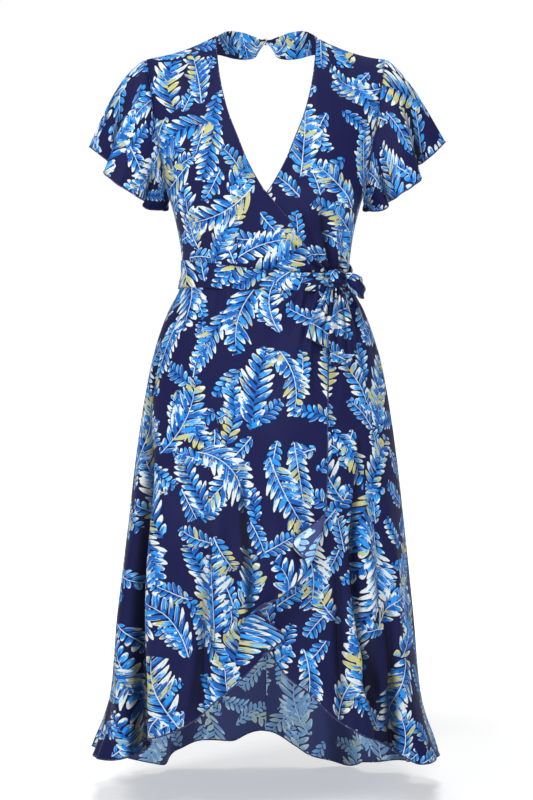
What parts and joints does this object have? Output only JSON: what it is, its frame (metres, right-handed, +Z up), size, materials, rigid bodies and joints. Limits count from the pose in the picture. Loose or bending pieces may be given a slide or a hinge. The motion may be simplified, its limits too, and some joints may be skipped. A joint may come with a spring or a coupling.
{
  "type": "wrap dress",
  "caption": "Worn-shaped wrap dress with flutter sleeves, open back, nape band, waist tie with a bow, and a skirt whose front edge cascades to a hem that dips at the back.",
  "frame": {"origin": "midway between the two shoulder tips, at their height; the neck points of the shoulder seams lie 35 mm higher", "axes": "+Z up, -Y towards the front of the dress, +X towards the side of the knot"},
  "size_m": [0.5332, 0.3614, 1.1542],
  "materials": {
    "leaf_print_crepe": "light crepe with a soft sheen, navy with blue, cream and ochre leaves",
    "covered_button": "navy cloth-covered button and thread loop"
  },
  "bodies": {
    "root": {"bodice_front_over": "leaf_print_crepe", "bodice_front_under": "leaf_print_crepe", "bodice_back_left": "leaf_print_crepe", "bodice_back_right": "leaf_print_crepe", "nape_band_left": "leaf_print_crepe", "nape_band_right": "leaf_print_crepe", "nape_button": "covered_button", "sleeve_left": "leaf_print_crepe", "sleeve_right": "leaf_print_crepe", "belt_front": "leaf_print_crepe", "belt_back": "leaf_print_crepe", "tie_knot": "leaf_print_crepe", "bow_loop": "leaf_print_crepe", "tie_tail_short": "leaf_print_crepe", "tie_tail_long": "leaf_print_crepe", "skirt_front_over": "leaf_print_crepe", "skirt_front_under": "leaf_print_crepe", "skirt_back_left": "leaf_print_crepe", "skirt_back_right": "leaf_print_crepe"}
  },
  "joints": []
}
